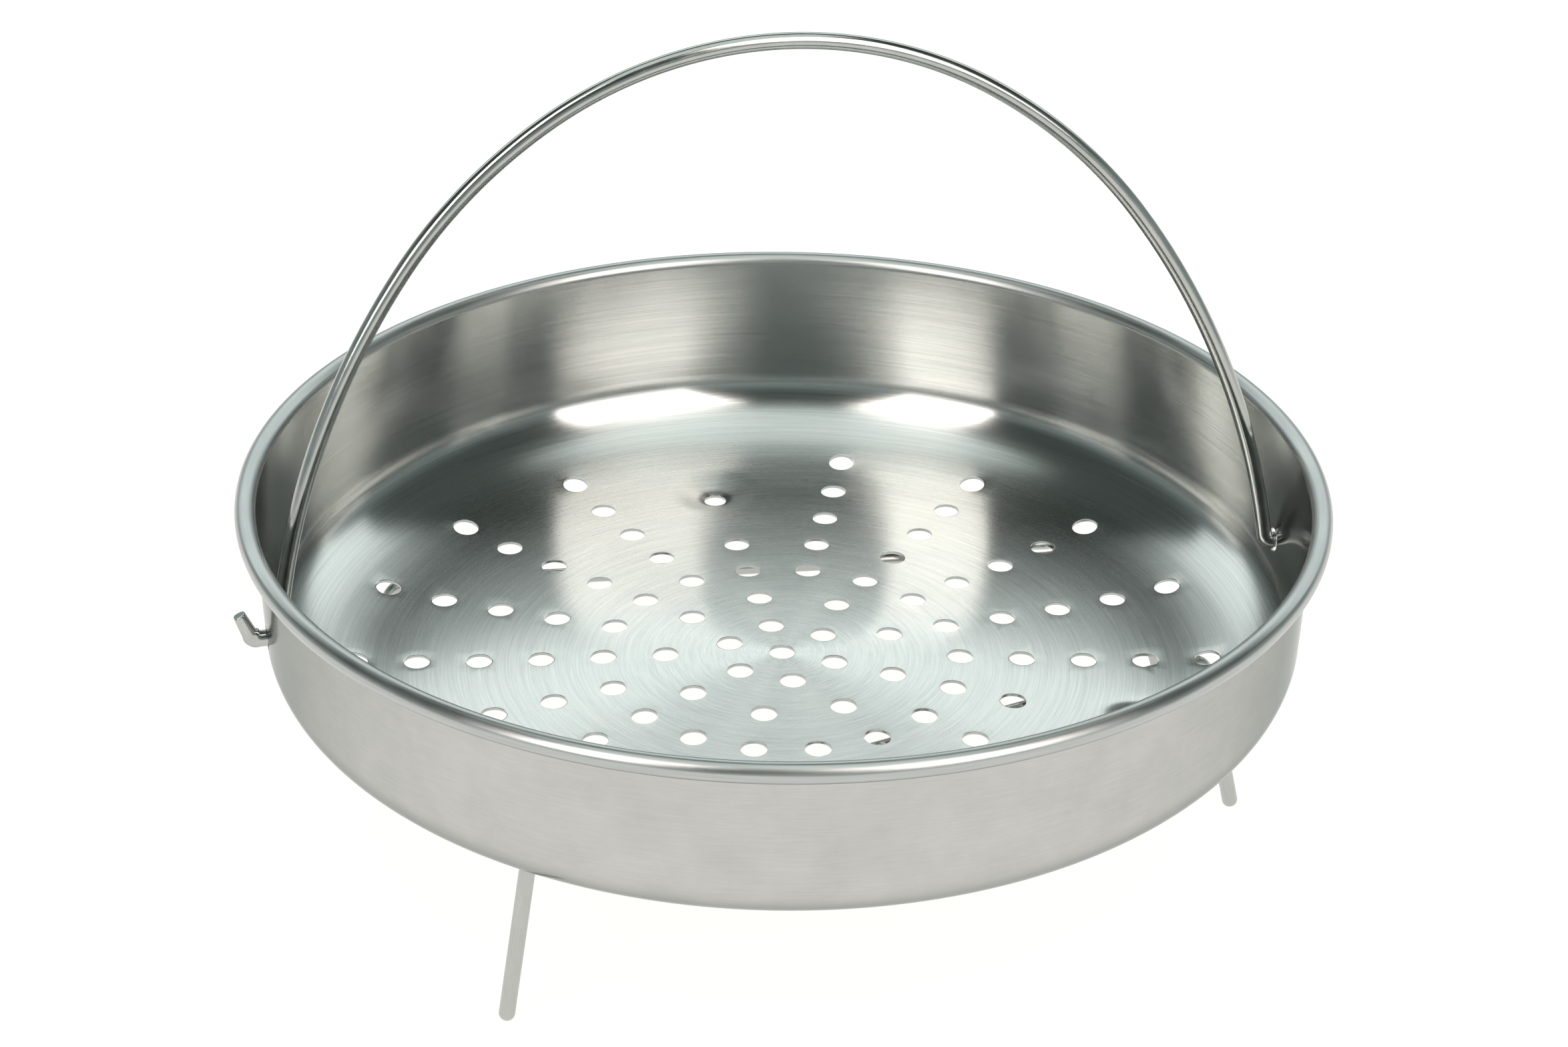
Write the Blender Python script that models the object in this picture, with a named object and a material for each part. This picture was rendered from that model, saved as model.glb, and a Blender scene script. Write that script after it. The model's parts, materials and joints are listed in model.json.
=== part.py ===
"""A steamer insert: a shallow perforated pan with a rolled rim, a swinging wire bail and two wire leg pieces.

The frame has +Z up and the table at Z = 0. The bail's hinge runs along X, and +Y is the rear.
Every dimension below is in millimetres, and angles are in degrees.
"""

import math

import bmesh
import bpy
from mathutils import Vector
from mathutils.geometry import delaunay_2d_cdt

MM = 0.001

# The pan's sheet, floor and corner
SHEET = 0.5
FLOOR_Z = 40.0
DOME_RISE = 2.1
DOME_RADIUS = 71.0
FLAT_RADIUS = 79.4
CORNER_RUN = 22.7
CORNER_RISE = 14.0
FLOOR_PATCH_RADIUS = 90.5

# The wall, which opens slightly towards the rim, and the rim's open rolled bead
WALL_FLARE = 1.3
BEAD_RADIUS = 2.05
BEAD_CENTRE_Z = 79.1
BEAD_END_ANGLE = -122.0

# The perforations: rings of holes as (radius, count, first angle)
HOLE_RADIUS = 2.65
INNER_RINGS = ((11.1, 6, 29.0), (23.4, 9, 9.0))
ARM_RINGS = (35.9, 48.35, 60.8, 73.25, 85.7)
ARM_COUNT = 18
ARM_FIRST_ANGLE = 9.0

# The pressed dimples take the place of the outer holes on three of the arms
DIMPLE_ANGLES = (89.0, 209.0, 329.0)
DIMPLE_ARM_HOLES = 2
DIMPLE_PLACE = 73.25
DIMPLE_RADIUS = 11.0
DIMPLE_DEPTH = 3.2
DIMPLE_HOLE_RADIUS = 2.35

# All three wires
WIRE_RADIUS = 1.65
HINGE_Z = 57.0
HINGE_HOLE_RADIUS = 2.4
HINGE_CUTTER_REACH = 120.0

# The bail in its own plane: a crown made of arcs (radius, turn), then an eye bend, a pin and a hook each side
BAIL_APEX = 111.8
BAIL_LEAN = 7.5
BAIL_ARCS = ((82.3, 31.7), (102.6, 22.9), (154.3, 28.2))
PIN_BEND_RADIUS = 1.9
HOOK_START = 104.1
HOOK_BEND_RADIUS = 2.3
HOOK_TURN = 66.0
HOOK_STRAIGHT = 4.0

# The leg wires: direction of the bar, its offset from the centre, and along it the two corners and the two feet
BAR_Z = 37.55
LEG_BEND_RADIUS = 5.0
FOOT_FLAT_RADIUS = 0.85
REAR_LEG = {"direction": -5.3, "offset": 43.7, "corners": (-76.4, 78.8), "feet": (-84.4, 89.9)}
FRONT_LEG = {"direction": 16.2, "offset": -34.9, "corners": (-72.7, 78.4), "feet": (-78.6, 87.7)}

# Mesh fineness
PAN_SEGMENTS = 56
CORNER_STEPS = 5
BEAD_STEPS = 10
HOLE_SIDES = 8
HINGE_HOLE_SIDES = 16
DIMPLE_SIDES = 16
DIMPLE_SHARES = (0.38, 0.6, 0.8, 1.0)
DOME_RINGS = ((17.3, 12), (29.6, 18))
FLAT_EDGE_POINTS = 72
DIMPLE_CLEARANCE = 1.5
CORNER_ANGLES = (-5.0, 0.0, 5.0)
END_LATITUDES = (22.5, 45.0, 67.5)
WIRE_SIDES = 12
ARC_STEP = 14.0
CROWN_STEP = 4.0


def clear_scene():
    for old in list(bpy.data.objects):
        bpy.data.objects.remove(old, do_unlink=True)


def steel(name, colour, roughness):
    material = bpy.data.materials.new(name)
    material.use_nodes = True
    shader = material.node_tree.nodes["Principled BSDF"]
    shader.inputs["Base Color"].default_value = (*colour, 1.0)
    shader.inputs["Metallic"].default_value = 1.0
    shader.inputs["Roughness"].default_value = roughness
    return material


def polar(radius, angle):
    return (radius * math.cos(math.radians(angle)), radius * math.sin(math.radians(angle)))


def circle(centre, radius, sides, first=0.0):
    """Points of a regular polygon on a circle, anticlockwise."""
    turns = [polar(radius, first + 360.0 * k / sides) for k in range(sides)]
    return [(centre[0] + x, centre[1] + y) for x, y in turns]


def add_object(name, bm, material, origin=(0.0, 0.0, 0.0), sharp=40.0):
    """Turns a mesh in millimetres into a smooth-shaded object whose origin sits at the given place."""
    bmesh.ops.recalc_face_normals(bm, faces=bm.faces)
    bmesh.ops.translate(bm, verts=bm.verts, vec=-Vector(origin))
    bmesh.ops.scale(bm, verts=bm.verts, vec=(MM, MM, MM))
    mesh = bpy.data.meshes.new(name)
    bm.to_mesh(mesh)
    bm.free()
    mesh.materials.append(material)
    mesh.shade_smooth()
    mesh.set_sharp_from_angle(angle=math.radians(sharp))
    made = bpy.data.objects.new(name, mesh)
    made.location = Vector(origin) * MM
    bpy.context.collection.objects.link(made)
    return made


def hole_places():
    """The full-size perforations, as (x, y)."""
    places = [(0.0, 0.0)]
    for radius, count, first in INNER_RINGS:
        places += circle((0.0, 0.0), radius, count, first)
    for arm in range(ARM_COUNT):
        angle = ARM_FIRST_ANGLE + 360.0 * arm / ARM_COUNT
        kept = DIMPLE_ARM_HOLES if angle in DIMPLE_ANGLES else len(ARM_RINGS)
        places += [polar(radius, angle) for radius in ARM_RINGS[:kept]]
    return places


def dimple_places():
    return [polar(DIMPLE_PLACE, angle) for angle in DIMPLE_ANGLES]


def floor_height(x, y, below):
    """Height of the floor's face that lies this far below the upper one."""
    radius = math.hypot(x, y)
    height = FLOOR_Z - below
    if radius < DOME_RADIUS:
        height += DOME_RISE * 0.5 * (1.0 + math.cos(math.pi * radius / DOME_RADIUS))
    if radius > FLAT_RADIUS:
        share = (radius - FLAT_RADIUS) / (CORNER_RUN + below)
        height += (CORNER_RISE + below) * (1.0 - math.sqrt(1.0 - share * share))
    for place in dimple_places():
        apart = math.dist((x, y), place)
        if apart < DIMPLE_RADIUS:
            height -= DIMPLE_DEPTH * 0.5 * (1.0 + math.cos(math.pi * apart / DIMPLE_RADIUS))
    return height


def shape_points():
    """Extra points that let the triangles follow the dimples and the start of the corner."""
    points = []
    for place in dimple_places():
        for share in DIMPLE_SHARES:
            points += circle(place, share * DIMPLE_RADIUS, DIMPLE_SIDES)
    for point in circle((0.0, 0.0), FLAT_RADIUS, FLAT_EDGE_POINTS):
        nearest = min(math.dist(point, place) for place in dimple_places())
        if nearest > DIMPLE_RADIUS + DIMPLE_CLEARANCE:
            points.append(point)
    for arm in range(ARM_COUNT):
        between = 360.0 * arm / ARM_COUNT
        points += [polar(ARM_RINGS[-1], between + step) for step in CORNER_ANGLES]
    points += [polar(ARM_RINGS[-1], angle) for angle in DIMPLE_ANGLES]
    for radius, count in DOME_RINGS:
        points += circle((0.0, 0.0), radius, count)
    return points


def floor_triangles():
    """The perforated floor seen from above: its points, its triangles and how many of the points are its edge."""
    points = circle((0.0, 0.0), FLOOR_PATCH_RADIUS, PAN_SEGMENTS)
    edges = [(k, (k + 1) % PAN_SEGMENTS) for k in range(PAN_SEGMENTS)]
    holes = [(place, HOLE_RADIUS) for place in hole_places()]
    holes += [(place, DIMPLE_HOLE_RADIUS) for place in dimple_places()]
    for place, radius in holes:
        start = len(points)
        points += circle(place, radius, HOLE_SIDES)
        edges += [(start + k, start + (k + 1) % HOLE_SIDES) for k in range(HOLE_SIDES)]
    points += shape_points()
    found = delaunay_2d_cdt([Vector(p) for p in points], edges, [], 0, 1e-5)
    flat = [(v.x, v.y) for v in found[0]]
    edge_of_patch = [None] * PAN_SEGMENTS
    for index, sources in enumerate(found[3]):
        for source in sources:
            if source < PAN_SEGMENTS:
                edge_of_patch[source] = index
    triangles = []
    for face in found[2]:
        middle = [sum(flat[v][axis] for v in face) / 3.0 for axis in (0, 1)]
        inside = math.cos(math.pi / HOLE_SIDES)
        if all(math.dist(middle, place) > radius * inside for place, radius in holes):
            triangles.append(face)
    return flat, triangles, edge_of_patch


def corner_profile(below):
    """The corner beyond the floor patch, from there up to the wall, on the face this far below or outside."""
    run = CORNER_RUN + below
    first = math.asin((FLOOR_PATCH_RADIUS - FLAT_RADIUS) / run)
    profile = []
    for step in range(1, CORNER_STEPS + 1):
        angle = first + (math.pi / 2.0 - first) * step / CORNER_STEPS
        rise = (CORNER_RISE + below) * (1.0 - math.cos(angle))
        profile.append((FLAT_RADIUS + run * math.sin(angle), FLOOR_Z - below + rise))
    return profile


def bead_profile(radius):
    """The rolled bead at this radius from its own centre, from the wall over the top to the curled edge."""
    centre = FLAT_RADIUS + CORNER_RUN + WALL_FLARE + BEAD_RADIUS
    profile = []
    for step in range(BEAD_STEPS + 1):
        x, z = polar(radius, 180.0 + (BEAD_END_ANGLE - 180.0) * step / BEAD_STEPS)
        profile.append((centre + x, BEAD_CENTRE_Z + z))
    return profile


def add_wall(bm, top_ring, under_ring):
    """Corner, wall and bead, from the floor's upper edge over the rim and back to its lower edge."""
    profile = corner_profile(0.0) + bead_profile(BEAD_RADIUS)
    profile += reversed(bead_profile(BEAD_RADIUS - SHEET))
    profile += reversed(corner_profile(SHEET))
    rings = [top_ring]
    for radius, height in profile:
        flat = circle((0.0, 0.0), radius, PAN_SEGMENTS)
        rings.append([bm.verts.new((x, y, height)) for x, y in flat])
    rings.append(under_ring)
    for first, second in zip(rings, rings[1:]):
        for k in range(PAN_SEGMENTS):
            after = (k + 1) % PAN_SEGMENTS
            bm.faces.new((first[k], first[after], second[after], second[k]))


def add_floor(bm):
    """Both faces of the perforated floor and the sides of its holes. Returns the outer edge of each face."""
    flat, triangles, edge_of_patch = floor_triangles()
    top = [bm.verts.new((x, y, floor_height(x, y, 0.0))) for x, y in flat]
    under = [bm.verts.new((x, y, floor_height(x, y, SHEET))) for x, y in flat]
    sides = set()
    for a, b, c in triangles:
        bm.faces.new((top[a], top[b], top[c]))
        bm.faces.new((under[c], under[b], under[a]))
        sides |= {(a, b), (b, c), (c, a)}
    rim = set(edge_of_patch)
    for a, b in sorted(sides):
        if (b, a) not in sides and not {a, b} <= rim:
            bm.faces.new((top[b], top[a], under[a], under[b]))
    return [top[k] for k in edge_of_patch], [under[k] for k in edge_of_patch]


def hinge_cutter():
    """A rod along the hinge axis that makes the bail's hole in both sides of the wall."""
    bm = bmesh.new()
    outline = circle((0.0, HINGE_Z), HINGE_HOLE_RADIUS, HINGE_HOLE_SIDES, 180.0 / HINGE_HOLE_SIDES)
    ends = []
    for x in (-HINGE_CUTTER_REACH, HINGE_CUTTER_REACH):
        ends.append([bm.verts.new((x, y, z)) for y, z in outline])
        bm.faces.new(ends[-1])
    for k in range(HINGE_HOLE_SIDES):
        after = (k + 1) % HINGE_HOLE_SIDES
        bm.faces.new((ends[0][k], ends[0][after], ends[1][after], ends[1][k]))
    cutter = add_object("hinge_cutter", bm, steel("cutter", (0.5, 0.5, 0.5), 0.5))
    cutter.hide_render = True
    cutter.display_type = "WIRE"
    return cutter


def pan():
    bm = bmesh.new()
    top_ring, under_ring = add_floor(bm)
    add_wall(bm, top_ring, under_ring)
    made = add_object("perforated_pan", bm, steel("brushed_pan_steel", (0.60, 0.60, 0.58), 0.28))
    cut = made.modifiers.new("hinge_holes", "BOOLEAN")
    cut.operation = "DIFFERENCE"
    cut.solver = "EXACT"
    cut.object = hinge_cutter()
    return made


def trace(start, heading, moves):
    """Walks a flat path of straights (length, 0, step) and arcs (radius, turn, step). Turns are to the left.

    Returns the points with the heading at each.
    """
    x, y = start
    path = [(x, y, heading)]
    for size, turn, step in moves:
        if turn == 0.0:
            dx, dy = polar(size, heading)
            x, y = x + dx, y + dy
            path.append((x, y, heading))
            continue
        side = math.copysign(90.0, turn)
        dx, dy = polar(size, heading + side)
        centre = (x + dx, y + dy)
        count = math.ceil(abs(turn) / step)
        for k in range(1, count + 1):
            now = heading + turn * k / count
            dx, dy = polar(size, now - side)
            path.append((centre[0] + dx, centre[1] + dy, now))
        x, y, heading = path[-1]
    return path


def rounded_end(path, at_start):
    """Rings past one end of the path that close the wire with a half ball, as (x, y, heading, share of radius)."""
    x, y, heading = path[0] if at_start else path[-1]
    outward = heading + (180.0 if at_start else 0.0)
    rings = []
    for latitude in END_LATITUDES:
        share, reach = polar(1.0, latitude)
        dx, dy = polar(WIRE_RADIUS * reach, outward)
        rings.append((x + dx, y + dy, heading, share))
    return rings[::-1] if at_start else rings


def add_wire(bm, path, place, normal, rounded):
    """A round wire along a flat path. `place` turns a point of the path's plane into one in space."""
    rings = [(x, y, heading, 1.0) for x, y, heading in path]
    if rounded:
        rings = rounded_end(path, True) + rings + rounded_end(path, False)
    loops = []
    for x, y, heading, share in rings:
        loop = []
        for k in range(WIRE_SIDES):
            across, along_normal = polar(share * WIRE_RADIUS, 360.0 * (k + 0.5) / WIRE_SIDES)
            dx, dy = polar(across, heading + 90.0)
            loop.append(bm.verts.new(place(x + dx, y + dy) + along_normal * normal))
        loops.append(loop)
    for first, second in zip(loops, loops[1:]):
        for k in range(WIRE_SIDES):
            after = (k + 1) % WIRE_SIDES
            bm.faces.new((first[k], first[after], second[after], second[k]))
    bm.faces.new(loops[0])
    bm.faces.new(loops[-1])


def bail():
    """The swinging handle. Its pins turn in the wall's holes and its hooks stop it from pulling out."""
    moves = [(radius, -turn, CROWN_STEP) for radius, turn in BAIL_ARCS]
    turned = sum(turn for _, turn in BAIL_ARCS)
    moves.append((PIN_BEND_RADIUS, turned, ARC_STEP))
    pin_start, pin_height, _ = trace((0.0, BAIL_APEX), 0.0, moves)[-1]
    moves.append((HOOK_START - pin_start, 0.0, 0.0))
    moves.append((HOOK_BEND_RADIUS, HOOK_TURN, ARC_STEP))
    moves.append((HOOK_STRAIGHT, 0.0, 0.0))
    right = trace((0.0, BAIL_APEX - pin_height), 0.0, moves)
    left = [(-x, y, -heading) for x, y, heading in reversed(right[1:])]
    lean = math.radians(BAIL_LEAN)
    up = Vector((0.0, math.sin(lean), math.cos(lean)))
    normal = Vector((0.0, -math.cos(lean), math.sin(lean)))
    bm = bmesh.new()
    pivot = Vector((0.0, 0.0, HINGE_Z))
    add_wire(bm, left + right, lambda s, t: pivot + Vector((s, 0.0, 0.0)) + t * up, normal, False)
    return add_object("bail_handle", bm, steel("bright_wire_steel", (0.62, 0.62, 0.60), 0.16), pivot)


def flatten_feet(bm):
    """Cuts the round wire ends level with the table, so that each foot has a small flat."""
    geometry = bm.verts[:] + bm.edges[:] + bm.faces[:]
    cut = bmesh.ops.bisect_plane(bm, geom=geometry, plane_co=(0, 0, 0), plane_no=(0, 0, -1), clear_outer=True)
    edges = [e for e in cut["geom_cut"] if isinstance(e, bmesh.types.BMEdge)]
    bmesh.ops.contextual_create(bm, geom=[e for e in edges if e.verts[0].co.x < 0.0])
    bmesh.ops.contextual_create(bm, geom=[e for e in edges if e.verts[0].co.x > 0.0])


def leg_wire(name, shape, material):
    """A bar under the floor whose two ends are bent down and out into legs."""
    foot_z = math.sqrt(WIRE_RADIUS**2 - FOOT_FLAT_RADIUS**2)
    corners = [Vector((u, BAR_Z)) for u in shape["corners"]]
    feet = []
    for corner, foot in zip(corners, shape["feet"]):
        feet.append(corner.lerp(Vector((foot, 0.0)), (BAR_Z - foot_z) / BAR_Z))
    headings = []
    for start, end in ((feet[0], corners[0]), (corners[1], feet[1])):
        headings.append(math.degrees(math.atan2(end.y - start.y, end.x - start.x)))
    cuts = [LEG_BEND_RADIUS * math.tan(math.radians(abs(h) / 2.0)) for h in headings]
    moves = [
        ((corners[0] - feet[0]).length - cuts[0], 0.0, 0.0),
        (LEG_BEND_RADIUS, -headings[0], ARC_STEP),
        ((corners[1] - corners[0]).length - sum(cuts), 0.0, 0.0),
        (LEG_BEND_RADIUS, headings[1], ARC_STEP),
        ((corners[1] - feet[1]).length - cuts[1], 0.0, 0.0),
    ]
    path = trace(tuple(feet[0]), headings[0], moves)
    along = Vector((*polar(1.0, shape["direction"]), 0.0))
    normal = Vector((*polar(1.0, shape["direction"] + 90.0), 0.0))
    middle = shape["offset"] * normal
    bm = bmesh.new()
    add_wire(bm, path, lambda u, z: middle + u * along + Vector((0.0, 0.0, z)), normal, True)
    flatten_feet(bm)
    return add_object(name, bm, material)


def main():
    clear_scene()
    pan()
    bail()
    legs = steel("satin_leg_steel", (0.58, 0.58, 0.57), 0.30)
    leg_wire("rear_leg_wire", REAR_LEG, legs)
    leg_wire("front_leg_wire", FRONT_LEG, legs)


main()
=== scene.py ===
"""The looks of a steamer insert: fine geometry, brushed steel, a white table, soft lights and the camera.

Lengths are in millimetres and angles in degrees, unless a name ends in _M for metres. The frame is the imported
model's: +Z up, the table at Z = 0, the bail's hinge along X and the rear at +Y.
"""

import json
import math

import bmesh
import bpy
import numpy as np
from mathutils import Matrix, Quaternion, Vector
from mathutils.geometry import delaunay_2d_cdt


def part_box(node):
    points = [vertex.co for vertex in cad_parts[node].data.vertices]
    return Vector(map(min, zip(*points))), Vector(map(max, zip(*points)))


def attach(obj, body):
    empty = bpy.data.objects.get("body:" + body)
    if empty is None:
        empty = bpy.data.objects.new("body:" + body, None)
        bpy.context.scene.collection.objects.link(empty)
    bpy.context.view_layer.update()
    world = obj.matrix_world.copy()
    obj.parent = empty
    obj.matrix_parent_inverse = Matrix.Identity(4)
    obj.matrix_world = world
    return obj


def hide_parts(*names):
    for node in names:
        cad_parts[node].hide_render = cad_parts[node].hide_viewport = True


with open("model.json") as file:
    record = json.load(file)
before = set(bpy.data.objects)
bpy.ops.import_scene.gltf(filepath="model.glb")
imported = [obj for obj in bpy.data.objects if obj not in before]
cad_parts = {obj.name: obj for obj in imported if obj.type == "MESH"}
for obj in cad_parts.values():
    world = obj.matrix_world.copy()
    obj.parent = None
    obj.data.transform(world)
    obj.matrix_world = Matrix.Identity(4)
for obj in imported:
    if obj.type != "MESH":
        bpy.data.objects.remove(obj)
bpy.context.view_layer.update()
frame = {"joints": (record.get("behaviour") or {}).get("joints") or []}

MM = 0.001
PAN_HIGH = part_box("perforated_pan")[1] / MM

# The pan: sheet, floor, corner, wall and rolled bead
SHEET = 0.5
FLOOR_Z = 40.0
DOME_RISE = 2.1
DOME_RADIUS = 71.0
FLAT_RADIUS = 79.4
CORNER_RUN = 22.7
CORNER_RISE = 14.0
PATCH_RADIUS = 90.5
BEAD_RADIUS = 2.05
RIM_RADIUS = PAN_HIGH.x
BEAD_CENTRE = (RIM_RADIUS - BEAD_RADIUS, PAN_HIGH.z - BEAD_RADIUS)
BEAD_END_ANGLE = -122.0

# Perforations and dimples
HOLE_RADIUS = 2.65
INNER_RINGS = ((11.1, 6, 29.0), (23.4, 9, 9.0))
ARM_RINGS = (35.9, 48.35, 60.8, 73.25, 85.7)
ARM_COUNT = 18
ARM_FIRST_ANGLE = 9.0
DIMPLE_ANGLES = (89.0, 209.0, 329.0)
DIMPLE_ARM_HOLES = 2
DIMPLE_PLACE = 73.25
DIMPLE_RADIUS = 11.0
DIMPLE_DEPTH = 2.2
DIMPLE_CUP_RADIUS = 4.6
DIMPLE_CUP_DEPTH = 0.3
DIMPLE_HOLE_RADIUS = 2.35
EDGE_WIDTH = 0.22
EDGE_DROP = 0.05
COLLAR_WIDTH = 1.1
COLLAR_DROP = 0.12
# Painted shade: how far out from a dimple's hole its collar is darkened in colour
COLLAR_SHADE_WIDTH = 2.3

# Wires
WIRE_RADIUS = 1.6
HINGE_Z = frame["joints"][0]["pos_m"][2] / MM
HINGE_HOLE_RADIUS = 2.4
HINGE_CUTTER_REACH = 120.0
BAIL_APEX = 111.8
BAIL_LEAN = 7.5
BAIL_ARCS = ((82.3, 31.7), (102.6, 22.9), (154.3, 28.2))
PIN_BEND_RADIUS = 1.9
HOOK_START = 104.1
HOOK_BEND_RADIUS = 2.3
HOOK_TURN = 66.0
HOOK_STRAIGHT = 4.0
CUT_EDGE = 0.16
BEND_TRAVEL = (-0.3, 1.0)
TIP_TRAVEL = (1.8, 3.4)
BEND_SQUEEZE = {"across": 0.16, "along": -0.2, "square": 0.4}
TIP_SQUEEZE = {"across": -0.22, "along": -0.12, "square": 0.3}
BAR_Z = 37.55
LEG_BEND_RADIUS = 5.0
FOOT_FLAT_RADIUS = 0.85
REAR_LEG = {"direction": -5.3, "offset": 43.7, "corners": (-76.4, 78.8), "feet": (-84.4, 89.9)}
FRONT_LEG = {"direction": 16.2, "offset": -34.9, "corners": (-72.7, 78.4), "feet": (-78.6, 87.7)}

# Fineness of the visible meshes
PAN_SEGMENTS = 224
CORNER_STEPS = 20
WALL_STEPS = 6
BEAD_STEPS = 36
HOLE_SIDES = 24
HOLE_RING_SHARES = (0.0, 0.3, 0.65, 1.0)
GRID_STEP = 3.0
GRID_TURN = 137.5
GRID_CLEARANCE = 0.7
DIMPLE_SIDES = 48
DIMPLE_RING_STEP = 0.8
DIMPLE_FIRST_RING = 4
MERGE_DISTANCE = 1e-5
SHARP_ANGLE = 35.0
WIRE_SIDES = 36
CROWN_STEP = 1.2
BEND_STEP = 5.0
STRAIGHT_STEP = 4.0
ROUND_END_STEP = 10
CUT_END_STEP = 15

# Materials' order on the pan
INSIDE, BEAD, OUTSIDE = range(3)

# Finishes: a noise's useful span, and the tones and roughness that it moves between, with the painted shade on
# the inner wall and round the dimples' holes
NOISE_SPAN = (0.3, 0.7)
FLOOR_TONES = ((0.50, 0.52, 0.51), (0.69, 0.70, 0.68))
FLOOR_ROUGHNESS = (0.23, 0.29)
WALL_ROUGHNESS = (0.12, 0.18)
# Painted shade: the inner wall's colour falls to this share of the floor's
WALL_PAINTED_SHADE = 0.82
WALL_BLEND = (FLOOR_Z + 1.0, FLOOR_Z + 12.0)
# Painted shade on the dimples' collars: the colour share kept at the hole, and the nearness where it is full
COLLAR_SHADE_TONE = 0.35
COLLAR_SHADE_FULL = 0.5
OUTSIDE_TONES = ((0.45, 0.455, 0.445), (0.53, 0.525, 0.51))
OUTSIDE_ROUGHNESS = (0.10, 0.18)
OUTSIDE_EDGE_TINT = (0.55, 0.57, 0.56, 1.0)
BEAD_TONES = ((0.41, 0.43, 0.425), (0.50, 0.51, 0.50))
BEAD_ROUGHNESS = (0.26, 0.36)
WIRE_TONES = ((0.38, 0.40, 0.385), (0.50, 0.505, 0.485))
WIRE_ROUGHNESS = (0.12, 0.20)
LEG_TONES = ((0.42, 0.43, 0.42), (0.50, 0.50, 0.485))
LEG_ROUGHNESS = (0.20, 0.30)
INSIDE_BRUSHING = 0.93
OUTSIDE_BRUSHING = 0.4
WIRE_LINES = (7.0, 7.0, 0.06)
WIRE_PATCHES = (0.8, 0.8, 0.22)

# Camera and studio, in metres and degrees
AIM_M = Vector((0.0030, 0.0130, 0.0642))
CAMERA_DISTANCE_M = 0.876
CAMERA_AZIMUTH = -12.7
CAMERA_ELEVATION = 28.605
CAMERA_ROLL = 0.75
LENS = 100.0
CLIP_M = (0.05, 50.0)
TABLE_HALF_SIDE_M = 6.0
TABLE_BASE = (0.20, 0.20, 0.20, 1.0)
TABLE_GLOW = (1.0, 0.985, 0.95, 1.0)
TABLE_GLOW_STRENGTH = 0.92
ROOM_LOW = (0.22, (0.36, 0.42, 0.42, 1.0))
ROOM_HIGH = (0.5, (0.065, 0.082, 0.076, 1.0))
BACKDROP = (1.0, 1.0, 1.0, 1.0)
WARM = (1.0, 0.93, 0.88)
COOL = (0.93, 1.0, 0.99)
GREENISH = (0.92, 1.0, 0.97)


def polar(radius, angle):
    return (radius * math.cos(math.radians(angle)), radius * math.sin(math.radians(angle)))


def circle(centre, radius, sides, first=0.0):
    """Points of a regular polygon on a circle, anticlockwise."""
    turns = [polar(radius, first + 360.0 * k / sides) for k in range(sides)]
    return [(centre[0] + x, centre[1] + y) for x, y in turns]


def mesh_object(name, bm, materials):
    """Turns a mesh in millimetres into a smooth-shaded object in metres."""
    bmesh.ops.scale(bm, verts=bm.verts, vec=(MM, MM, MM))
    mesh = bpy.data.meshes.new(name)
    bm.to_mesh(mesh)
    bm.free()
    for material in materials:
        mesh.materials.append(material)
    mesh.shade_smooth()
    mesh.set_sharp_from_angle(angle=math.radians(SHARP_ANGLE))
    made = bpy.data.objects.new(name, mesh)
    bpy.context.collection.objects.link(made)
    return made


# ---------------------------------------------------------------- pan


def round_holes():
    """Every hole in the floor, as ((x, y), radius)."""
    places = [(0.0, 0.0)]
    for radius, count, first in INNER_RINGS:
        places += circle((0.0, 0.0), radius, count, first)
    for arm in range(ARM_COUNT):
        angle = ARM_FIRST_ANGLE + 360.0 * arm / ARM_COUNT
        kept = DIMPLE_ARM_HOLES if angle in DIMPLE_ANGLES else len(ARM_RINGS)
        places += [polar(radius, angle) for radius in ARM_RINGS[:kept]]
    holes = [(place, HOLE_RADIUS) for place in places]
    return holes + [(place, DIMPLE_HOLE_RADIUS) for place in dimple_places()]


def dimple_places():
    return [polar(DIMPLE_PLACE, angle) for angle in DIMPLE_ANGLES]


def distances(points, places):
    """The distance of each point from each place."""
    return np.linalg.norm(points[:, None, :] - np.array(places)[None, :, :], axis=2)


def fade(distance, width):
    """1 at no distance, falling to 0 at the given width and beyond, with a level end."""
    return np.clip(1.0 - distance / width, 0.0, 1.0) ** 2


def floor_heights(points, below):
    """Heights of the floor's face that lies this far below the upper one, with its rounded hole edges."""
    radius = np.linalg.norm(points, axis=1)
    dome = 0.5 * (1.0 + np.cos(np.pi * np.minimum(radius / DOME_RADIUS, 1.0)))
    share = np.maximum(radius - FLAT_RADIUS, 0.0) / (CORNER_RUN + below)
    corner = (CORNER_RISE + below) * (1.0 - np.sqrt(1.0 - share**2))
    height = FLOOR_Z - below + DOME_RISE * dome + corner
    apart = distances(points, dimple_places()).min(axis=1)
    dish = 0.5 * (1.0 + np.cos(np.pi * np.minimum(apart / DIMPLE_RADIUS, 1.0)))
    cup = 0.5 * (1.0 + np.cos(np.pi * np.minimum(apart / DIMPLE_CUP_RADIUS, 1.0)))
    collar = fade(apart - DIMPLE_HOLE_RADIUS, COLLAR_WIDTH)
    holes = round_holes()
    gaps = distances(points, [place for place, _ in holes]) - np.array([size for _, size in holes])
    edge = fade(gaps.min(axis=1), EDGE_WIDTH)
    return height - DIMPLE_DEPTH * dish - DIMPLE_CUP_DEPTH * cup - COLLAR_DROP * collar - EDGE_DROP * edge


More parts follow.
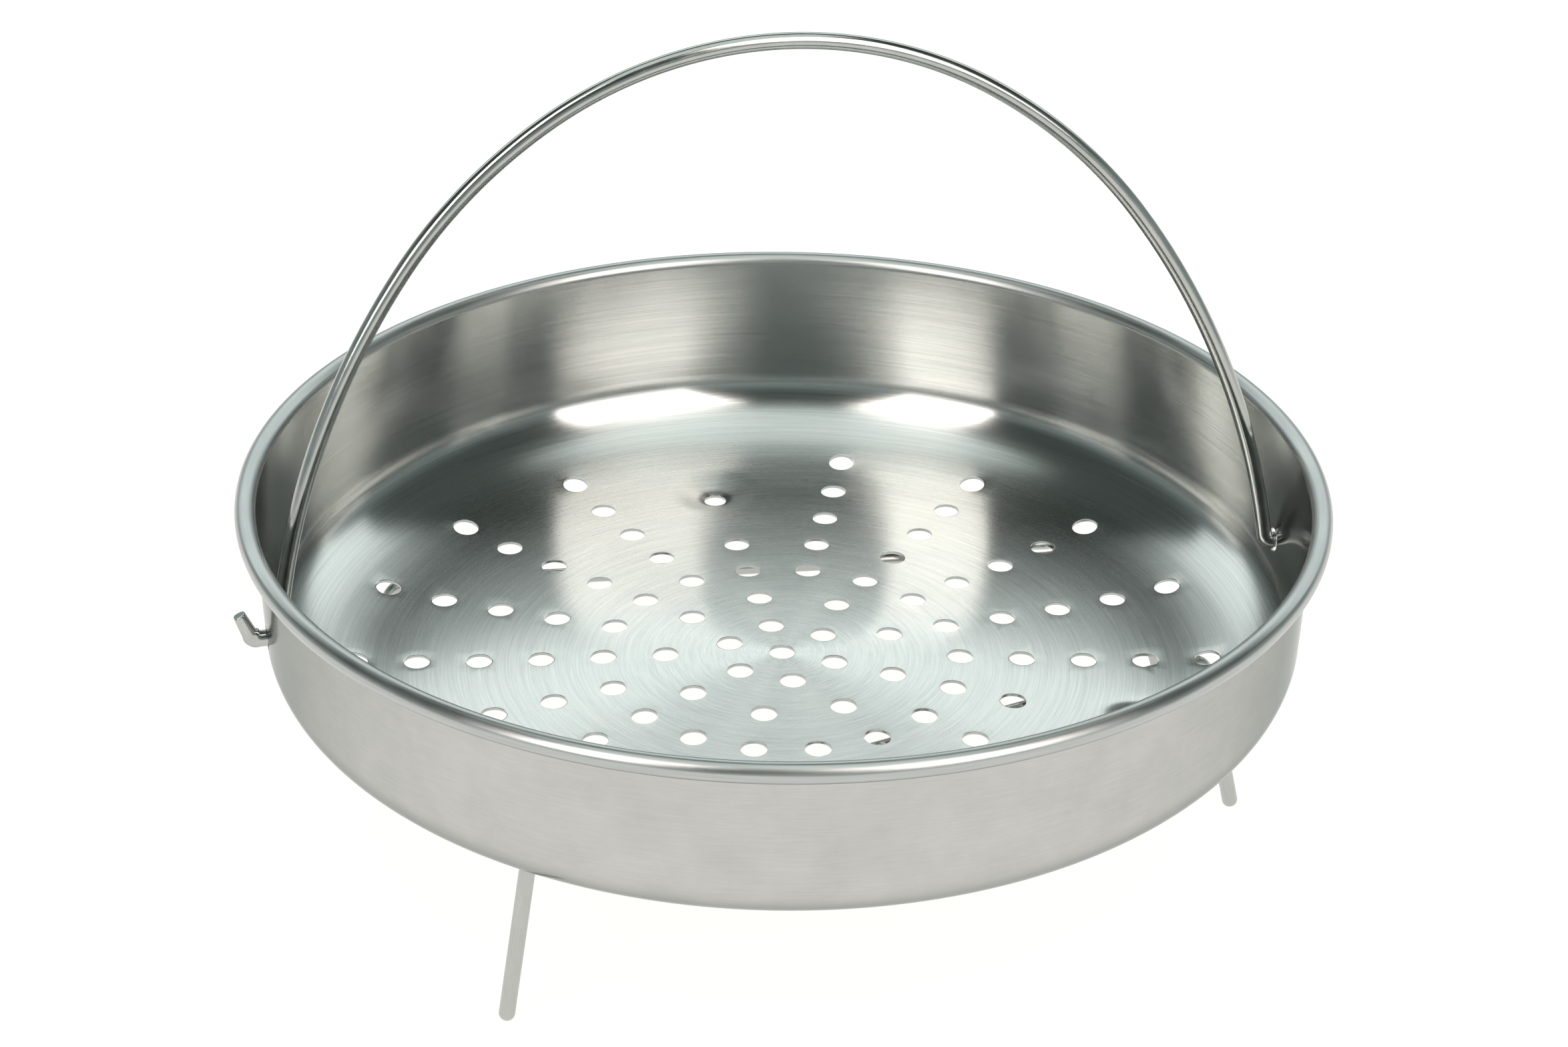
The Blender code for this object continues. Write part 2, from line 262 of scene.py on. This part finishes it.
def grid_points(holes):
    """Evenly spread points over the plain parts of the floor."""
    points = []
    for ring in range(1, int(PATCH_RADIUS / GRID_STEP)):
        radius = ring * GRID_STEP
        points += circle((0.0, 0.0), radius, round(2.0 * math.pi * ring), GRID_TURN * ring)
    points = np.array(points)
    gaps = distances(points, [place for place, _ in holes]) - np.array([size for _, size in holes])
    clear = gaps.min(axis=1) > EDGE_WIDTH + GRID_CLEARANCE
    clear &= distances(points, dimple_places()).min(axis=1) > DIMPLE_RADIUS + GRID_CLEARANCE
    return [tuple(point) for point in points[clear]]


def floor_layout():
    """The floor from above: its points, its triangles, and which points make its outer edge, in order."""
    points = circle((0.0, 0.0), PATCH_RADIUS, PAN_SEGMENTS)
    edges = [(k, (k + 1) % PAN_SEGMENTS) for k in range(PAN_SEGMENTS)]
    holes = round_holes()
    for place, radius in holes:
        start = len(points)
        edges += [(start + k, start + (k + 1) % HOLE_SIDES) for k in range(HOLE_SIDES)]
        for share in HOLE_RING_SHARES:
            points += circle(place, radius + share * EDGE_WIDTH, HOLE_SIDES)
    rings = int(DIMPLE_RADIUS / DIMPLE_RING_STEP)
    for place in dimple_places():
        for ring in range(DIMPLE_FIRST_RING, rings + 1):
            points += circle(place, DIMPLE_RADIUS * ring / rings, DIMPLE_SIDES)
    points += grid_points(holes)
    found = delaunay_2d_cdt([Vector(point) for point in points], edges, [], 0, MERGE_DISTANCE)
    flat = np.array([tuple(point) for point in found[0]])
    outer = [None] * PAN_SEGMENTS
    for index, sources in enumerate(found[3]):
        for source in sources:
            if source < PAN_SEGMENTS:
                outer[source] = index
    triangles = np.array(found[2])
    middles = flat[triangles].mean(axis=1)
    reach = np.array([radius for _, radius in holes]) * math.cos(math.pi / HOLE_SIDES)
    solid = (distances(middles, [place for place, _ in holes]) > reach).all(axis=1)
    return flat, triangles[solid], outer


def add_floor(bm):
    """Both faces of the floor and the sides of its holes. Returns the outer edge of each face.

    The vertices keep how near they lie to a dimple's hole, which the material reads to paint shade on the
    collar.
    """
    layer = bm.verts.layers.float.new("collar_shade")
    flat, triangles, outer = floor_layout()
    top = [bm.verts.new((*point, z)) for point, z in zip(flat, floor_heights(flat, 0.0))]
    under = [bm.verts.new((*point, z)) for point, z in zip(flat, floor_heights(flat, SHEET))]
    # Painted shade: darkest at a dimple's hole and fading out across its collar
    past_hole = distances(flat, dimple_places()).min(axis=1) - DIMPLE_HOLE_RADIUS
    collar_darkening = fade(np.maximum(past_hole, 0.0), COLLAR_SHADE_WIDTH)
    for vert, share in zip(top, collar_darkening.tolist()):
        vert[layer] = share
    sides = set()
    for a, b, c in triangles.tolist():
        bm.faces.new((top[a], top[b], top[c])).material_index = INSIDE
        bm.faces.new((under[c], under[b], under[a])).material_index = OUTSIDE
        sides |= {(a, b), (b, c), (c, a)}
    rim = set(outer)
    for a, b in sorted(sides):
        if (b, a) not in sides and not {a, b} <= rim:
            bm.faces.new((top[b], top[a], under[a], under[b])).material_index = BEAD
    return [top[k] for k in outer], [under[k] for k in outer]


def corner_profile(below):
    """The corner from the floor patch up to the wall, on the face this far outside the inner one."""
    run = CORNER_RUN + below
    first = math.asin((PATCH_RADIUS - FLAT_RADIUS) / run)
    profile = []
    for step in range(1, CORNER_STEPS + 1):
        angle = first + (math.pi / 2.0 - first) * step / CORNER_STEPS
        rise = (CORNER_RISE + below) * (1.0 - math.cos(angle))
        profile.append((FLAT_RADIUS + run * math.sin(angle), FLOOR_Z - below + rise))
    return profile


def bead_profile(radius):
    """The rolled bead at this radius from its own centre, from the wall over the top to the curled edge."""
    profile = []
    for step in range(BEAD_STEPS + 1):
        x, z = polar(radius, 180.0 + (BEAD_END_ANGLE - 180.0) * step / BEAD_STEPS)
        profile.append((BEAD_CENTRE[0] + x, BEAD_CENTRE[1] + z))
    return profile


def wall_profile(below):
    """Points between the top of the corner and the start of the bead."""
    start = corner_profile(below)[-1]
    end = bead_profile(BEAD_RADIUS - below)[0]
    shares = [step / WALL_STEPS for step in range(1, WALL_STEPS)]
    return [tuple(a + (b - a) * share for a, b in zip(start, end)) for share in shares]


def add_wall(bm, top_ring, under_ring):
    """Corner, wall and bead, from the floor's upper edge over the rim and back to its lower edge."""
    bead = bead_profile(BEAD_RADIUS)
    stretches = (
        (corner_profile(0.0) + wall_profile(0.0) + bead[:1], INSIDE),
        (bead[1:] + bead_profile(BEAD_RADIUS - SHEET)[::-1], BEAD),
        ((corner_profile(SHEET) + wall_profile(SHEET))[::-1], OUTSIDE),
    )
    rings = [(top_ring, INSIDE)]
    for profile, region in stretches:
        for radius, height in profile:
            flat = circle((0.0, 0.0), radius, PAN_SEGMENTS)
            rings.append(([bm.verts.new((x, y, height)) for x, y in flat], region))
    rings.append((under_ring, OUTSIDE))
    for (first, _), (second, region) in zip(rings, rings[1:]):
        for k in range(PAN_SEGMENTS):
            after = (k + 1) % PAN_SEGMENTS
            face = bm.faces.new((first[k], first[after], second[after], second[k]))
            face.material_index = region


def cut_hinge_holes(pan):
    """Drills the two holes for the bail's pins through the wall and makes them part of the mesh."""
    bm = bmesh.new()
    turn = Matrix.Translation((0.0, 0.0, HINGE_Z)) @ Matrix.Rotation(math.radians(90.0), 4, "Y")
    bmesh.ops.create_cone(
        bm,
        cap_ends=True,
        segments=2 * HOLE_SIDES,
        radius1=HINGE_HOLE_RADIUS,
        radius2=HINGE_HOLE_RADIUS,
        depth=2.0 * HINGE_CUTTER_REACH,
        matrix=turn,
    )
    cutter = mesh_object("hinge_cutter", bm, [])
    cut = pan.modifiers.new("hinge_holes", "BOOLEAN")
    cut.operation = "DIFFERENCE"
    cut.solver = "EXACT"
    cut.object = cutter
    graph = bpy.context.evaluated_depsgraph_get()
    mesh = bpy.data.meshes.new_from_object(pan.evaluated_get(graph))
    pan.modifiers.clear()
    pan.data = mesh
    bpy.data.objects.remove(cutter, do_unlink=True)
    mesh.shade_smooth()
    mesh.set_sharp_from_angle(angle=math.radians(SHARP_ANGLE))


def fine_pan():
    bm = bmesh.new()
    top_ring, under_ring = add_floor(bm)
    add_wall(bm, top_ring, under_ring)
    bmesh.ops.recalc_face_normals(bm, faces=bm.faces)
    pan = mesh_object("fine_pan", bm, [inside_steel(), bead_steel(), outside_steel()])
    cut_hinge_holes(pan)
    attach(pan, "pan")
    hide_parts("perforated_pan")
    return pan


# ---------------------------------------------------------------- wires


def trace(start, heading, moves):
    """Walks a flat path of straights (length, 0, step) and arcs (radius, turn, step). Turns are to the left.

    Returns the points with the heading at each.
    """
    x, y = start
    path = [(x, y, heading)]
    for size, turn, step in moves:
        if turn == 0.0:
            count = max(1, math.ceil(size / step))
            dx, dy = polar(size, heading)
            path += [(x + dx * k / count, y + dy * k / count, heading) for k in range(1, count + 1)]
        else:
            side = math.copysign(90.0, turn)
            dx, dy = polar(size, heading + side)
            centre = (x + dx, y + dy)
            count = math.ceil(abs(turn) / step)
            for k in range(1, count + 1):
                now = heading + turn * k / count
                dx, dy = polar(size, now - side)
                path.append((centre[0] + dx, centre[1] + dy, now))
        x, y, heading = path[-1]
    return path


def round_end(path, at_start):
    """Rings past one end of the path that close the wire with a half ball."""
    x, y, heading = path[0] if at_start else path[-1]
    outward = heading + (180.0 if at_start else 0.0)
    rings = []
    for latitude in range(ROUND_END_STEP, 90, ROUND_END_STEP):
        share, reach = polar(1.0, latitude)
        dx, dy = polar(WIRE_RADIUS * reach, outward)
        rings.append((x + dx, y + dy, heading, (share, share, 0.0)))
    return rings[::-1] if at_start else rings


def cut_end(last):
    """Rings past the wire's last one that close it as a sheared end with a softened edge."""
    x, y, heading, (across, along, square) = last
    rings = []
    for latitude in range(CUT_END_STEP, 91, CUT_END_STEP):
        share, reach = polar(CUT_EDGE, latitude)
        inset = 1.0 - CUT_EDGE + share
        dx, dy = polar(WIRE_RADIUS * reach, heading)
        rings.append((x + dx, y + dy, heading, (across * inset, along * inset, square)))
    return rings


def wire_object(name, rings, place, normal, material, level_z=None):
    """A wire along a flat path of (x, y, heading, (share across, share along the normal, squareness)) rings.

    `place` turns a point of the path's plane into one in space. The material reads where each point is round
    and along the wire.
    """
    bm = bmesh.new()
    layer = bm.verts.layers.float_vector.new("wire_place")
    loops = []
    length = 0.0
    before = rings[0]
    for ring in rings:
        x, y, heading, shares = ring
        length += math.dist((x, y), before[:2])
        before = ring
        loop = []
        for k in range(WIRE_SIDES):
            c, s = polar(1.0, 360.0 * (k + 0.5) / WIRE_SIDES)
            across = math.copysign(abs(c) ** (1.0 - shares[2]), c)
            dx, dy = polar(WIRE_RADIUS * shares[0] * across, heading + 90.0)
            along = math.copysign(abs(s) ** (1.0 - shares[2]), s)
            vert = bm.verts.new(place(x + dx, y + dy) + WIRE_RADIUS * shares[1] * along * normal)
            vert[layer] = (c, s, length)
            loop.append(vert)
        loops.append(loop)
    for first, second in zip(loops, loops[1:]):
        for k in range(WIRE_SIDES):
            after = (k + 1) % WIRE_SIDES
            bm.faces.new((first[k], first[after], second[after], second[k]))
    bm.faces.new(loops[0])
    bm.faces.new(loops[-1])
    if level_z is not None:
        level_feet(bm, level_z)
    bmesh.ops.recalc_face_normals(bm, faces=bm.faces)
    return mesh_object(name, bm, [material])


def level_feet(bm, level_z):
    """Cuts the round ends level with the table."""
    geometry = bm.verts[:] + bm.edges[:] + bm.faces[:]
    plane = {"plane_co": (0.0, 0.0, level_z), "plane_no": (0.0, 0.0, -1.0)}
    cut = bmesh.ops.bisect_plane(bm, geom=geometry, clear_outer=True, **plane)
    edges = [e for e in cut["geom_cut"] if isinstance(e, bmesh.types.BMEdge)]
    for side in (-1.0, 1.0):
        bmesh.ops.contextual_create(bm, geom=[e for e in edges if side * e.verts[0].co.x > 0.0])


def level_step(value, low, high):
    """0 below low, 1 above high and a smooth rise between."""
    share = min(max((value - low) / (high - low), 0.0), 1.0)
    return share * share * (3.0 - 2.0 * share)


def plier_squeeze(travel):
    """How the pliers flattened the wire this far past the hook's start.

    Returns the shares of the radius across and along the normal, and how square the section is.
    """
    tip = level_step(travel, *TIP_TRAVEL)
    bend = level_step(travel, *BEND_TRAVEL) - tip
    across = 1.0 + BEND_SQUEEZE["across"] * bend + TIP_SQUEEZE["across"] * tip
    along = 1.0 + BEND_SQUEEZE["along"] * bend + TIP_SQUEEZE["along"] * tip
    return across, along, BEND_SQUEEZE["square"] * bend + TIP_SQUEEZE["square"] * tip


def bail_rings():
    """The right half of the bail, from the crown to its hook's tip, and the mirrored left half before it."""
    moves = [(radius, -turn, CROWN_STEP) for radius, turn in BAIL_ARCS]
    turned = sum(turn for _, turn in BAIL_ARCS)
    moves.append((PIN_BEND_RADIUS, turned, BEND_STEP))
    pin_start, pin_height, _ = trace((0.0, BAIL_APEX), 0.0, moves)[-1]
    moves.append((HOOK_START - pin_start, 0.0, STRAIGHT_STEP))
    hook_first = len(trace((0.0, BAIL_APEX), 0.0, moves)) - 1
    moves.append((HOOK_BEND_RADIUS, HOOK_TURN, BEND_STEP))
    moves.append((HOOK_STRAIGHT, 0.0, STRAIGHT_STEP))
    path = trace((0.0, BAIL_APEX - pin_height), 0.0, moves)
    right = []
    travel = 0.0
    for k, (x, y, heading) in enumerate(path):
        if k > hook_first:
            travel += math.dist((x, y), path[k - 1][:2])
        right.append((x, y, heading, plier_squeeze(travel)))
    right += cut_end(right[-1])
    left = [(-x, y, -heading, shares) for x, y, heading, shares in reversed(right[1:])]
    return left + right


def fine_bail():
    lean = math.radians(BAIL_LEAN)
    up = Vector((0.0, math.sin(lean), math.cos(lean)))
    normal = Vector((0.0, -math.cos(lean), math.sin(lean)))
    pivot = Vector((0.0, 0.0, HINGE_Z))

    def place(s, t):
        return pivot + Vector((s, 0.0, 0.0)) + t * up

    bail = wire_object("fine_bail", bail_rings(), place, normal, wire_steel())
    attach(bail, "bail")
    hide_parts("bail_handle")
    return bail


def leg_rings(shape):
    """A bar under the floor whose two ends are bent down and out into legs with rounded feet."""
    foot_z = math.sqrt(WIRE_RADIUS**2 - FOOT_FLAT_RADIUS**2)
    corners = [Vector((u, BAR_Z)) for u in shape["corners"]]
    feet = []
    for corner, foot in zip(corners, shape["feet"]):
        feet.append(corner.lerp(Vector((foot, 0.0)), (BAR_Z - foot_z) / BAR_Z))
    headings = []
    for start, end in ((feet[0], corners[0]), (corners[1], feet[1])):
        headings.append(math.degrees(math.atan2(end.y - start.y, end.x - start.x)))
    cuts = [LEG_BEND_RADIUS * math.tan(math.radians(abs(heading) / 2.0)) for heading in headings]
    moves = [
        ((corners[0] - feet[0]).length - cuts[0], 0.0, STRAIGHT_STEP),
        (LEG_BEND_RADIUS, -headings[0], BEND_STEP),
        ((corners[1] - corners[0]).length - sum(cuts), 0.0, STRAIGHT_STEP),
        (LEG_BEND_RADIUS, headings[1], BEND_STEP),
        ((corners[1] - feet[1]).length - cuts[1], 0.0, STRAIGHT_STEP),
    ]
    path = trace(tuple(feet[0]), headings[0], moves)
    middle = [(x, y, heading, (1.0, 1.0, 0.0)) for x, y, heading in path]
    return round_end(path, True) + middle + round_end(path, False)


def fine_leg(name, node, shape, material):
    along = Vector((*polar(1.0, shape["direction"]), 0.0))
    normal = Vector((*polar(1.0, shape["direction"] + 90.0), 0.0))
    middle = shape["offset"] * normal

    def place(u, z):
        return middle + u * along + Vector((0.0, 0.0, z))

    leg = wire_object(name, leg_rings(shape), place, normal, material, level_z=0.0)
    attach(leg, "pan")
    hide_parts(node)
    return leg


# ---------------------------------------------------------------- materials


class Nodes:
    """A short way to write a material's node tree."""

    def __init__(self, name):
        self.material = bpy.data.materials.new(name)
        self.material.use_nodes = True
        self.tree = self.material.node_tree
        self.shader = self.tree.nodes["Principled BSDF"]
        self.shader.inputs["Metallic"].default_value = 1.0

    def add(self, kind, inputs=(), **settings):
        """A node with its settings, and its inputs as values or as sockets to link."""
        node = self.tree.nodes.new(kind)
        for key, value in settings.items():
            setattr(node, key, value)
        for key, value in dict(inputs).items():
            if isinstance(value, bpy.types.NodeSocket):
                self.tree.links.new(value, node.inputs[key])
            else:
                node.inputs[key].default_value = value
        return node

    def math(self, operation, *values):
        return self.add("ShaderNodeMath", enumerate(values), operation=operation).outputs[0]

    def vector_math(self, operation, **inputs):
        """Vector arithmetic on `first` and `second`, or on `first` and a `scale`."""
        keys = {"first": 0, "second": 1, "scale": "Scale"}
        placed = {keys[name]: value for name, value in inputs.items()}
        return self.add("ShaderNodeVectorMath", placed, operation=operation).outputs

    def noise(self, vector, scale=1.0, detail=3.0, roughness=0.55):
        inputs = {"Vector": vector, "Scale": scale, "Detail": detail, "Roughness": roughness}
        return self.add("ShaderNodeTexNoise", inputs).outputs[0]

    def between(self, value, ends, span=NOISE_SPAN):
        """Maps the span of a value smoothly to the two numbers in `ends`."""
        inputs = {"Value": value, 1: span[0], 2: span[1], 3: ends[0], 4: ends[1]}
        return self.add("ShaderNodeMapRange", inputs, interpolation_type="SMOOTHSTEP").outputs[0]

    def tones(self, value, ends):
        """Maps a noise evenly to the colours between the two in `ends`."""
        node = self.add("ShaderNodeValToRGB", {"Fac": value})
        for stop, position, tone in zip(node.color_ramp.elements, NOISE_SPAN, ends):
            stop.position = position
            stop.color = (*tone, 1.0)
        return node.outputs[0]

    def mix(self, share, first, second):
        """Blends two numbers by a share."""
        inputs = {"Factor": share, "A": first, "B": second}
        return self.add("ShaderNodeMix", inputs).outputs[0]

    def place(self):
        """The point in the pan's own space, in metres."""
        return self.add("ShaderNodeTexCoord").outputs["Object"]

    def height(self, place):
        return self.add("ShaderNodeSeparateXYZ", {0: place}).outputs["Z"]

    def turned_place(self, around, across):
        """Coordinates that run round the pan slowly and across the brushing fast."""
        place = self.place()
        flat = self.vector_math("MULTIPLY", first=place, second=(1.0, 1.0, 0.0))[0]
        radius = self.vector_math("LENGTH", first=flat)["Value"]
        turn = self.vector_math("NORMALIZE", first=flat)[0]
        slow = self.vector_math("SCALE", first=turn, scale=around)[0]
        fast = self.math("MULTIPLY", self.math("ADD", radius, self.height(place)), across)
        lift = self.add("ShaderNodeCombineXYZ", {"Z": fast}).outputs[0]
        return self.vector_math("ADD", first=slow, second=lift)[0]

    def brush_round(self, strength):
        """Stretches the gloss across the brushing that runs round the pan's axis."""
        tangent = self.add("ShaderNodeTangent", direction_type="RADIAL", axis="Z").outputs[0]
        self.tree.links.new(tangent, self.shader.inputs["Tangent"])
        self.shader.inputs["Anisotropic"].default_value = strength
        self.shader.inputs["Anisotropic Rotation"].default_value = 0.25

    def finish(self, colour, roughness, bump, strength, depth):
        """Links the colour, the roughness and a bump of this depth in millimetres."""
        self.tree.links.new(colour, self.shader.inputs["Base Color"])
        self.tree.links.new(roughness, self.shader.inputs["Roughness"])
        inputs = {"Height": bump, "Strength": strength, "Distance": depth * MM}
        normal = self.add("ShaderNodeBump", inputs).outputs[0]
        self.tree.links.new(normal, self.shader.inputs["Normal"])
        return self.material


def inside_steel():
    """Sheet brushed on a lathe: fine circular lines on the floor that turn into level lines up the wall."""
    nodes = Nodes("inside_steel")
    lines = nodes.noise(nodes.turned_place(around=2.6, across=3000.0), detail=4.0, roughness=0.7)
    scratches = nodes.noise(nodes.turned_place(around=5.0, across=5200.0), roughness=0.6)
    clouds = nodes.noise(nodes.turned_place(around=1.6, across=26.0), roughness=0.5)
    wall_span = [edge * MM for edge in WALL_BLEND]
    wall_share = nodes.between(nodes.height(nodes.place()), (0.0, 1.0), wall_span)
    wear = nodes.mix(0.6, clouds, scratches)
    floor_roughness = nodes.between(wear, FLOOR_ROUGHNESS)
    wall_roughness = nodes.between(wear, WALL_ROUGHNESS)
    roughness = nodes.mix(wall_share, floor_roughness, wall_roughness)
    tone = nodes.tones(nodes.mix(0.75, clouds, lines), FLOOR_TONES)
    # Painted shade darkens the colour round each dimple's hole
    collar_shade = nodes.add("ShaderNodeAttribute", attribute_name="collar_shade").outputs["Fac"]
    collar_darkening = nodes.between(collar_shade, (1.0, COLLAR_SHADE_TONE), (0.0, COLLAR_SHADE_FULL))
    # Painted shade: darker up the inner wall and on the dimples' collars
    shade = nodes.math("MULTIPLY", collar_darkening, nodes.between(wall_share, (1.0, WALL_PAINTED_SHADE), (0.0, 1.0)))
    colour = nodes.vector_math("SCALE", first=tone, scale=shade)[0]
    nodes.brush_round(INSIDE_BRUSHING)
    return nodes.finish(colour, roughness, nodes.mix(0.35, lines, scratches), strength=0.06, depth=0.03)


def outside_steel():
    """The outside is satin sheet: faint mottling over a fine level grain."""
    nodes = Nodes("outside_steel")
    grain = nodes.noise(nodes.turned_place(around=14.0, across=2600.0), roughness=0.6)
    place = nodes.place()
    mottle = nodes.noise(place, scale=95.0, detail=5.0, roughness=0.6)
    speckle = nodes.noise(place, scale=1500.0, detail=2.0, roughness=0.5)
    colour = nodes.tones(nodes.mix(0.35, mottle, grain), OUTSIDE_TONES)
    roughness = nodes.between(nodes.mix(0.5, mottle, speckle), OUTSIDE_ROUGHNESS)
    nodes.brush_round(OUTSIDE_BRUSHING)
    nodes.shader.inputs["Specular Tint"].default_value = OUTSIDE_EDGE_TINT
    return nodes.finish(colour, roughness, nodes.mix(0.5, grain, speckle), strength=0.12, depth=0.02)


def bead_steel():
    """The rolled rim and the cut sides of the holes are satin, with faint lines round the pan."""
    nodes = Nodes("bead_steel")
    lines = nodes.noise(nodes.turned_place(around=6.0, across=2400.0), roughness=0.6)
    patches = nodes.noise(nodes.turned_place(around=5.0, across=150.0), roughness=0.5)
    colour = nodes.tones(lines, BEAD_TONES)
    roughness = nodes.between(nodes.mix(0.4, patches, lines), BEAD_ROUGHNESS)
    return nodes.finish(colour, roughness, lines, strength=0.06, depth=0.02)


def drawn_steel(name, tones, roughness, strength):
    """Drawn wire: fine lines along its length, with faint patches where it was handled."""
    nodes = Nodes(name)
    place = nodes.add("ShaderNodeAttribute", attribute_name="wire_place").outputs["Vector"]
    stretched = nodes.vector_math("MULTIPLY", first=place, second=WIRE_LINES)[0]
    lines = nodes.noise(stretched, detail=4.0, roughness=0.65)
    spread = nodes.vector_math("MULTIPLY", first=place, second=WIRE_PATCHES)[0]
    wear = nodes.mix(0.5, nodes.noise(spread), lines)
    return nodes.finish(nodes.tones(wear, tones), nodes.between(wear, roughness), lines, strength, depth=0.03)


def wire_steel():
    return drawn_steel("wire_steel", WIRE_TONES, WIRE_ROUGHNESS, strength=0.05)


def leg_steel():
    return drawn_steel("leg_steel", LEG_TONES, LEG_ROUGHNESS, strength=0.12)


# ---------------------------------------------------------------- studio


def direction_from(azimuth, elevation):
    """The unit vector from the object towards a place at this azimuth (0 is the front) and elevation."""
    x, y = polar(math.cos(math.radians(elevation)), azimuth - 90.0)
    return Vector((x, y, math.sin(math.radians(elevation))))


def look_along(back):
    return (-back).to_track_quat("-Z", "Y")


def camera():
    data = bpy.data.cameras.new("camera")
    data.lens = LENS
    data.clip_start, data.clip_end = CLIP_M
    made = bpy.data.objects.new("camera", data)
    back = direction_from(CAMERA_AZIMUTH, CAMERA_ELEVATION)
    made.location = AIM_M + CAMERA_DISTANCE_M * back
    made.rotation_mode = "QUATERNION"
    roll = Quaternion((0.0, 0.0, 1.0), math.radians(CAMERA_ROLL))
    made.rotation_quaternion = look_along(back) @ roll
    bpy.context.collection.objects.link(made)
    bpy.context.scene.camera = made


def softbox(name, towards, distance_m, size_m, power, colour):
    """A rectangular soft light that faces the object.

    `towards` is its azimuth, counted from the camera's own, and its elevation.
    """
    data = bpy.data.lights.new(name, "AREA")
    data.shape = "RECTANGLE"
    data.size, data.size_y = size_m
    data.energy = power
    data.color = colour
    made = bpy.data.objects.new(name, data)
    azimuth, elevation = towards
    back = direction_from(CAMERA_AZIMUTH + azimuth, elevation)
    made.location = AIM_M + distance_m * back
    made.rotation_mode = "QUATERNION"
    made.rotation_quaternion = look_along(back)
    bpy.context.collection.objects.link(made)


def studio_world():
    """White behind the object, and a dim greenish room in the steel's reflections."""
    world = bpy.data.worlds.new("studio")
    bpy.context.scene.world = world
    world.use_nodes = True
    tree = world.node_tree
    room = tree.nodes["Background"]
    place = tree.nodes.new("ShaderNodeTexCoord")
    split = tree.nodes.new("ShaderNodeSeparateXYZ")
    ramp = tree.nodes.new("ShaderNodeValToRGB")
    for stop, (position, tone) in zip(ramp.color_ramp.elements, (ROOM_LOW, ROOM_HIGH)):
        stop.position = position
        stop.color = tone
    tree.links.new(place.outputs["Generated"], split.inputs[0])
    tree.links.new(split.outputs["Z"], ramp.inputs[0])
    tree.links.new(ramp.outputs[0], room.inputs["Color"])
    backdrop = tree.nodes.new("ShaderNodeBackground")
    backdrop.inputs["Color"].default_value = BACKDROP
    path = tree.nodes.new("ShaderNodeLightPath")
    mix = tree.nodes.new("ShaderNodeMixShader")
    tree.links.new(path.outputs["Is Camera Ray"], mix.inputs[0])
    tree.links.new(room.outputs[0], mix.inputs[1])
    tree.links.new(backdrop.outputs[0], mix.inputs[2])
    tree.links.new(mix.outputs[0], tree.nodes["World Output"].inputs["Surface"])


def studio_table():
    """A large lit white table top."""
    bm = bmesh.new()
    bmesh.ops.create_grid(bm, x_segments=1, y_segments=1, size=TABLE_HALF_SIDE_M / MM)
    material = bpy.data.materials.new("table_white")
    material.use_nodes = True
    shader = material.node_tree.nodes["Principled BSDF"]
    shader.inputs["Base Color"].default_value = TABLE_BASE
    shader.inputs["Roughness"].default_value = 0.8
    shader.inputs["Specular IOR Level"].default_value = 0.1
    shader.inputs["Emission Color"].default_value = TABLE_GLOW
    shader.inputs["Emission Strength"].default_value = TABLE_GLOW_STRENGTH
    mesh_object("table", bm, [material])


def studio():
    camera()
    studio_world()
    studio_table()
    softbox("right_softbox", (39.0, 38.0), distance_m=1.3, size_m=(0.75, 1.1), power=10.0, colour=WARM)
    softbox("left_softbox", (-39.0, 38.0), distance_m=1.3, size_m=(0.5, 1.1), power=8.5, colour=WARM)
    softbox("rear_softbox", (180.0, 34.0), distance_m=1.4, size_m=(3.2, 0.7), power=9.2, colour=COOL)
    softbox("ceiling", (0.0, 88.0), distance_m=1.4, size_m=(1.2, 1.2), power=5.0, colour=GREENISH)
    bpy.context.scene.view_settings.view_transform = "Standard"


fine_pan()
fine_bail()
legs = leg_steel()
fine_leg("fine_rear_leg", "rear_leg_wire", REAR_LEG, legs)
fine_leg("fine_front_leg", "front_leg_wire", FRONT_LEG, legs)
studio()
